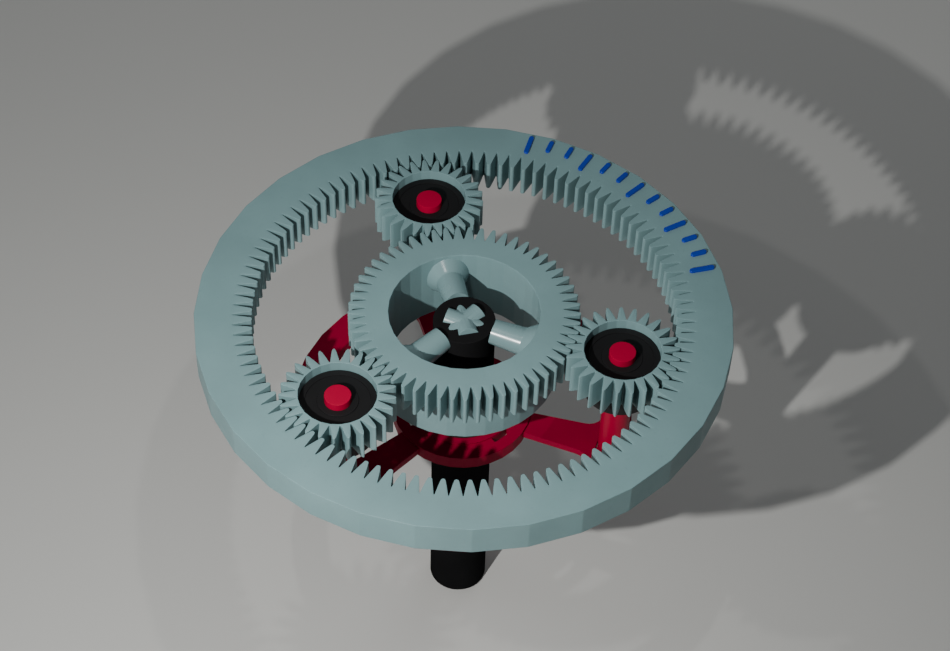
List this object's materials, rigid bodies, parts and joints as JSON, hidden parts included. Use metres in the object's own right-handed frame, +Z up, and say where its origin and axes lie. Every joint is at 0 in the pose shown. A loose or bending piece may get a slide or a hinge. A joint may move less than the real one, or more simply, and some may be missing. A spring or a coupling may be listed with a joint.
{
  "type": "planetary gearbox",
  "caption": "Open planetary gearbox: fixed toothed ring, central gear on a drive shaft, planet gears on bearing pins and a turning carrier plate.",
  "frame": {"origin": "centre of the drive shaft's free lower end", "axes": "+Z up the shaft towards the gears; +X and +Y across it, with the left planet at 222.8 degrees, the right at 343.5 and the back at 104.3, counted from +X towards +Y"},
  "size_m": [0.1618, 0.1618, 0.1348],
  "materials": {
    "gear_grey": "satin blue-grey moulding",
    "spider_grey": "glossy blue-grey moulding",
    "mark_blue": "glossy raised marks",
    "shaft_black": "satin black oxide",
    "clip_steel": "bright spring steel",
    "carrier_red": "satin crimson moulding",
    "pin_red": "satin crimson coating",
    "bush_polymer": "dull black bearing polymer",
    "race_black": "black oxide ground steel",
    "ball_steel": "polished",
    "cage_polymer": "moulded black",
    "seal_rubber": "matt black"
  },
  "bodies": {
    "ring": {"ring_gear": "gear_grey", "index_marks": "mark_blue"},
    "sun": {"sun_gear": "gear_grey", "spoke_spider": "spider_grey", "drive_shaft": "shaft_black", "upper_circlip": "clip_steel", "lower_circlip": "clip_steel", "upper_thrust_washer": "clip_steel", "lower_thrust_washer": "clip_steel"},
    "carrier": {"carrier_plate": "carrier_red", "carrier_bush": "bush_polymer", "left_pin": "pin_red", "right_pin": "pin_red", "back_pin": "pin_red", "left_upper_inner_race": "race_black", "left_lower_inner_race": "race_black", "right_upper_inner_race": "race_black", "right_lower_inner_race": "race_black", "back_upper_inner_race": "race_black", "back_lower_inner_race": "race_black"},
    "left_planet": {"left_planet_gear": "gear_grey", "left_upper_outer_race": "race_black", "left_lower_outer_race": "race_black", "left_bearing_seals": "seal_rubber"},
    "left_ball_sets": {"left_upper_balls": "ball_steel", "left_upper_cage": "cage_polymer", "left_lower_balls": "ball_steel", "left_lower_cage": "cage_polymer"},
    "right_planet": {"right_planet_gear": "gear_grey", "right_upper_outer_race": "race_black", "right_lower_outer_race": "race_black", "right_bearing_seals": "seal_rubber"},
    "right_ball_sets": {"right_upper_balls": "ball_steel", "right_upper_cage": "cage_polymer", "right_lower_balls": "ball_steel", "right_lower_cage": "cage_polymer"},
    "back_planet": {"back_planet_gear": "gear_grey", "back_upper_outer_race": "race_black", "back_lower_outer_race": "race_black", "back_bearing_seals": "seal_rubber"},
    "back_ball_sets": {"back_upper_balls": "ball_steel", "back_upper_cage": "cage_polymer", "back_lower_balls": "ball_steel", "back_lower_cage": "cage_polymer"}
  },
  "joints": [
    {"name": "sun_spin", "type": "hinge", "parent": "ring", "child": "sun", "pos_m": [0, 0, 0.129], "axis": [0, 0, 1], "continuous": true},
    {"name": "carrier_spin", "type": "hinge", "parent": "ring", "child": "carrier", "pos_m": [0, 0, 0.0877], "axis": [0, 0, 1], "continuous": true},
    {"name": "left_planet_spin", "type": "hinge", "parent": "carrier", "child": "left_planet", "pos_m": [-0.0361, -0.03343, 0.129], "axis": [0, 0, 1], "continuous": true},
    {"name": "left_ball_set_spin", "type": "hinge", "parent": "carrier", "child": "left_ball_sets", "pos_m": [-0.0361, -0.03343, 0.129], "axis": [0, 0, 1], "continuous": true},
    {"name": "right_planet_spin", "type": "hinge", "parent": "carrier", "child": "right_planet", "pos_m": [0.04718, -0.01395, 0.129], "axis": [0, 0, 1], "continuous": true},
    {"name": "right_ball_set_spin", "type": "hinge", "parent": "carrier", "child": "right_ball_sets", "pos_m": [0.04718, -0.01395, 0.129], "axis": [0, 0, 1], "continuous": true},
    {"name": "back_planet_spin", "type": "hinge", "parent": "carrier", "child": "back_planet", "pos_m": [-0.01212, 0.04768, 0.129], "axis": [0, 0, 1], "continuous": true},
    {"name": "back_ball_set_spin", "type": "hinge", "parent": "carrier", "child": "back_ball_sets", "pos_m": [-0.01212, 0.04768, 0.129], "axis": [0, 0, 1], "continuous": true}
  ],
  "couplings": [
    {"joint": "carrier_spin", "follows": "sun_spin", "ratio": 0.34756},
    {"joint": "left_planet_spin", "follows": "sun_spin", "ratio": -1.4876},
    {"joint": "left_ball_set_spin", "follows": "sun_spin", "ratio": -0.94063},
    {"joint": "right_planet_spin", "follows": "sun_spin", "ratio": -1.4876},
    {"joint": "right_ball_set_spin", "follows": "sun_spin", "ratio": -0.94063},
    {"joint": "back_planet_spin", "follows": "sun_spin", "ratio": -1.4876},
    {"joint": "back_ball_set_spin", "follows": "sun_spin", "ratio": -0.94063}
  ]
}
